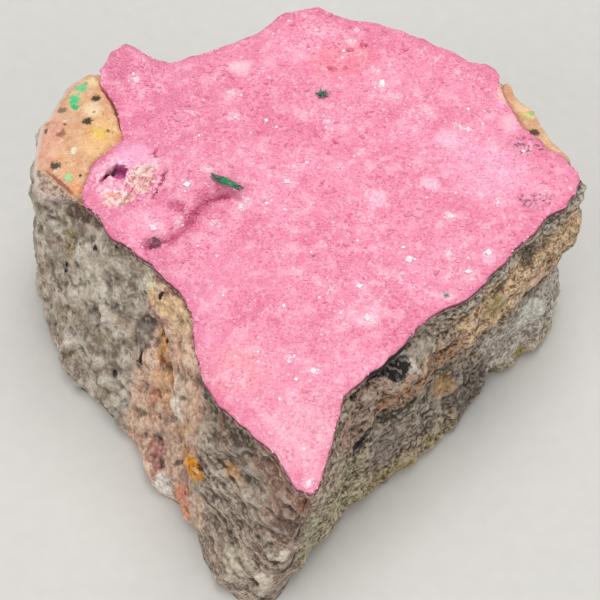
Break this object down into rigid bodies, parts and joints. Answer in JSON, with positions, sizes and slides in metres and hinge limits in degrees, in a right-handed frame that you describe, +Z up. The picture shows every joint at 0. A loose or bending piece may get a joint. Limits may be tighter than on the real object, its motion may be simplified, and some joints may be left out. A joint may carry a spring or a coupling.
{
  "type": "cobaltoan calcite specimen",
  "caption": "Mineral specimen: a pink crystalline calcite rind on a broken block of host rock, with small sprays of dark green needles, cut flat to stand on a shelf.",
  "frame": {"origin": "middle of the bounding box, on the flat base", "axes": "+Z up through the pink rind, +Y from the pointed front towards the back, +X to the right"},
  "size_m": [0.098, 0.1, 0.0405],
  "materials": {
    "host_rock": "rough broken rock, grey-beige with rust, ochre and salmon bands, smooth orange-tan where it is bare on top",
    "pink_calcite": "sugary druse of small translucent pink crystals with white glinting faces",
    "malachite": "silky dark green needles"
  },
  "bodies": {
    "root": {"matrix_rock": "host_rock", "calcite_rind": "pink_calcite", "malachite_spray": "malachite", "malachite_tuft": "malachite", "malachite_small_tuft": "malachite"}
  },
  "joints": []
}
